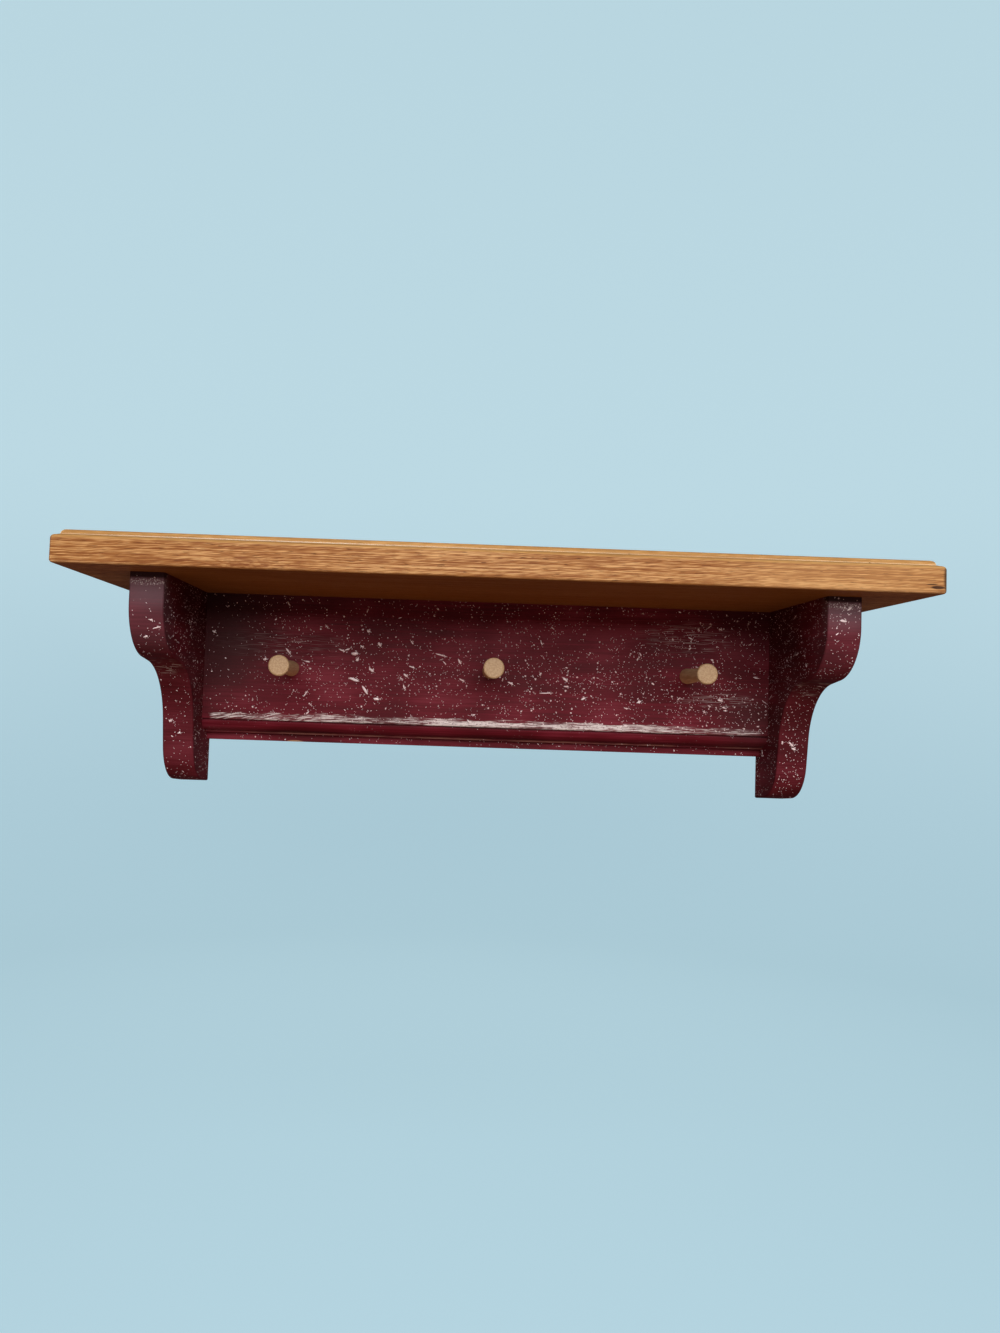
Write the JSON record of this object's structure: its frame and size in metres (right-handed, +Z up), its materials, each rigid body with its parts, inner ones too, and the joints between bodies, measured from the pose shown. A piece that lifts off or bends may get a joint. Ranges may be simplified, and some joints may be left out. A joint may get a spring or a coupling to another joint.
{
  "type": "wall shelf with pegs",
  "caption": "Wall shelf with a moulded oak top on two scroll brackets and a painted board that carries turned hanging pegs.",
  "frame": {"origin": "on the wall plane, midway between the entry holes of the two keyhole hangers", "axes": "+X along the shelf to the right as seen from the room, +Y into the wall, +Z up"},
  "size_m": [0.508, 0.148, 0.152],
  "materials": {
    "oak": "clear satin varnish over oak",
    "red_paint": "brushed semi-gloss dark red paint with cream spatter",
    "birch": "bare turned birch",
    "dowel_wood": "bare beech",
    "zinc_steel": "zinc plated",
    "screw_steel": "zinc plated"
  },
  "bodies": {
    "root": {"shelf_board": "oak", "peg_board": "red_paint", "left_bracket": "red_paint", "right_bracket": "red_paint", "left_peg": "birch", "centre_peg": "birch", "right_peg": "birch", "board_dowels": "dowel_wood", "left_bracket_dowels": "dowel_wood", "right_bracket_dowels": "dowel_wood", "left_end_dowels": "dowel_wood", "right_end_dowels": "dowel_wood", "left_hanger": "zinc_steel", "right_hanger": "zinc_steel", "left_hanger_screws": "screw_steel", "right_hanger_screws": "screw_steel"}
  },
  "joints": []
}
